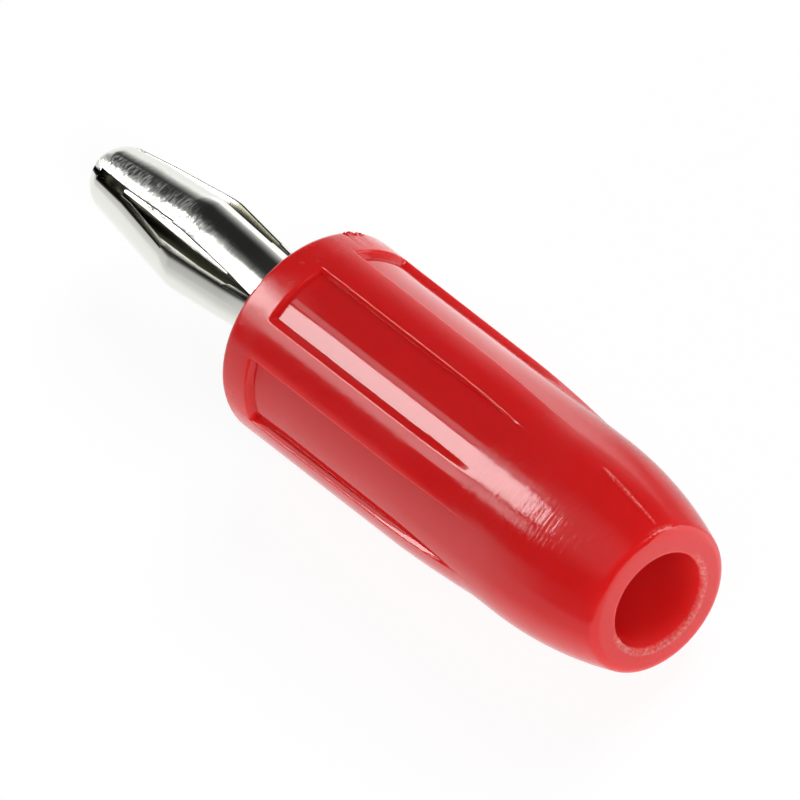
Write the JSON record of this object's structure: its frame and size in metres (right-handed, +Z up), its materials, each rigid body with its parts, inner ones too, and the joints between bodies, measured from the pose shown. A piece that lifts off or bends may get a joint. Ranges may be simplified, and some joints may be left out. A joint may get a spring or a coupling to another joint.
{
  "type": "banana plug",
  "caption": "Cable plug with a fluted plastic sleeve that has a cable hole at its back, and a slit, bulged spring pin at its front that grips a 4 mm socket.",
  "frame": {"origin": "middle of the plug's length, on the table under its axis", "axes": "+X along the plug's axis towards the pin's nose, +Z up, with the plug lying on two of its grip lands"},
  "size_m": [0.0353, 0.0088, 0.0088],
  "materials": {
    "red_plastic": "gloss red moulded plastic",
    "nickel_plate": "turned brass, nickel plated",
    "nickel_plate_bright": "formed brass, bright nickel plated",
    "screw_plate": "nickel plated brass"
  },
  "bodies": {
    "sleeve": {"sleeve": "red_plastic"},
    "contact": {"contact_core": "nickel_plate", "spring_pin": "nickel_plate_bright"},
    "screw": {"clamp_screw": "screw_plate"}
  },
  "joints": [
    {"name": "contact_pull", "type": "slide", "parent": "sleeve", "child": "contact", "axis": [1, 0, 0], "range_m": [0, 0.015]},
    {"name": "screw_clamp", "type": "slide", "parent": "contact", "child": "screw", "axis": [0, 0, -1], "range_m": [0, 0.0008]}
  ]
}
